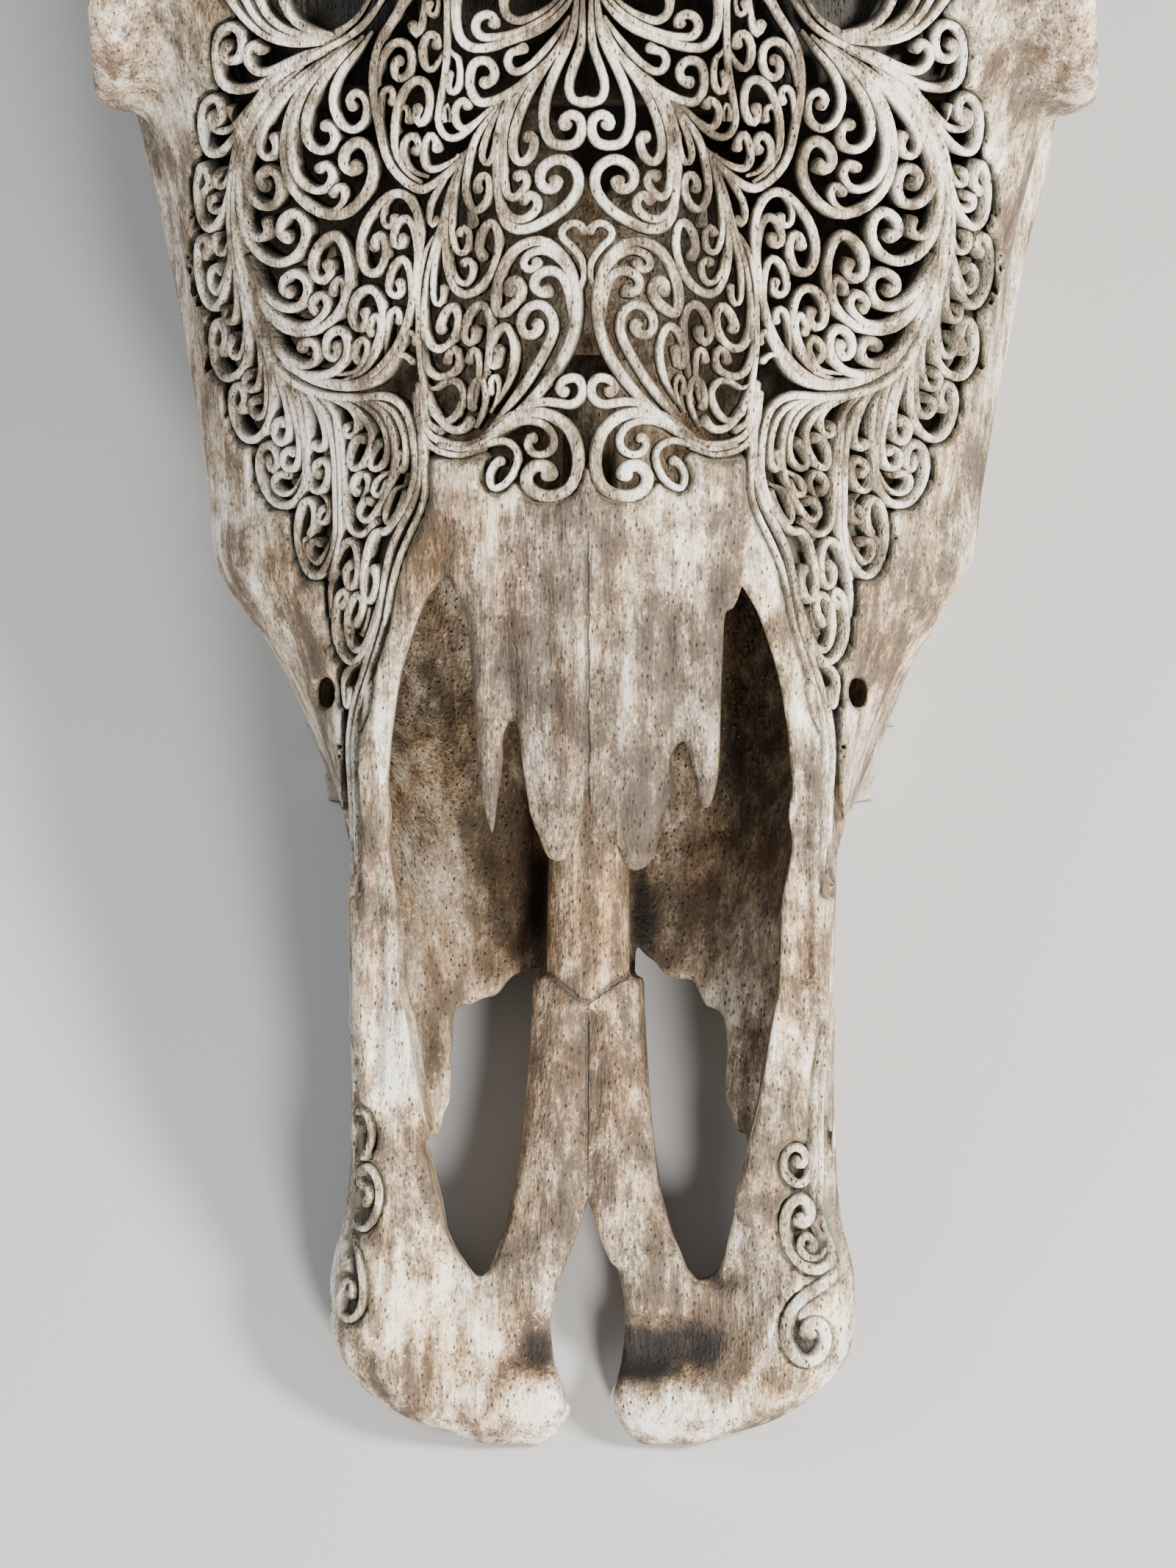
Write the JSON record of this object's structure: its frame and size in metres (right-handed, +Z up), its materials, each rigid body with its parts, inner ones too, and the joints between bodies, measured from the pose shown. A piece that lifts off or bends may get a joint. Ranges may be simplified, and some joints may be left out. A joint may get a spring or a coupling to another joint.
{
  "type": "carved bull skull",
  "caption": "Dry bull skull without its lower jaw, its face carved into pierced scroll filigree, with horn sheaths on bony cores and cheek teeth in their sockets.",
  "frame": {"origin": "centre of the bounding box's underside, on the surface that the skull rests on", "axes": "+Z up with the skull resting on its cheek teeth; +X to the skull's mirror-image side shown on the picture's right; +Y from the snout towards the back of the head"},
  "size_m": [0.4596, 0.5054, 0.2772],
  "materials": {
    "bone": "old waxed bone, cream on worn edges, dark in its recesses",
    "horn": "dark grown horn, satin with fine growth rings",
    "tooth": "worn enamel, brown-stained"
  },
  "bodies": {
    "root": {"skull": "bone", "horn_right": "horn", "horn_left": "horn", "premolar_1_right": "tooth", "premolar_1_left": "tooth", "premolar_2_right": "tooth", "premolar_2_left": "tooth", "premolar_3_right": "tooth", "premolar_3_left": "tooth", "molar_1_right": "tooth", "molar_1_left": "tooth", "molar_2_right": "tooth", "molar_2_left": "tooth", "molar_3_right": "tooth", "molar_3_left": "tooth"}
  },
  "joints": []
}
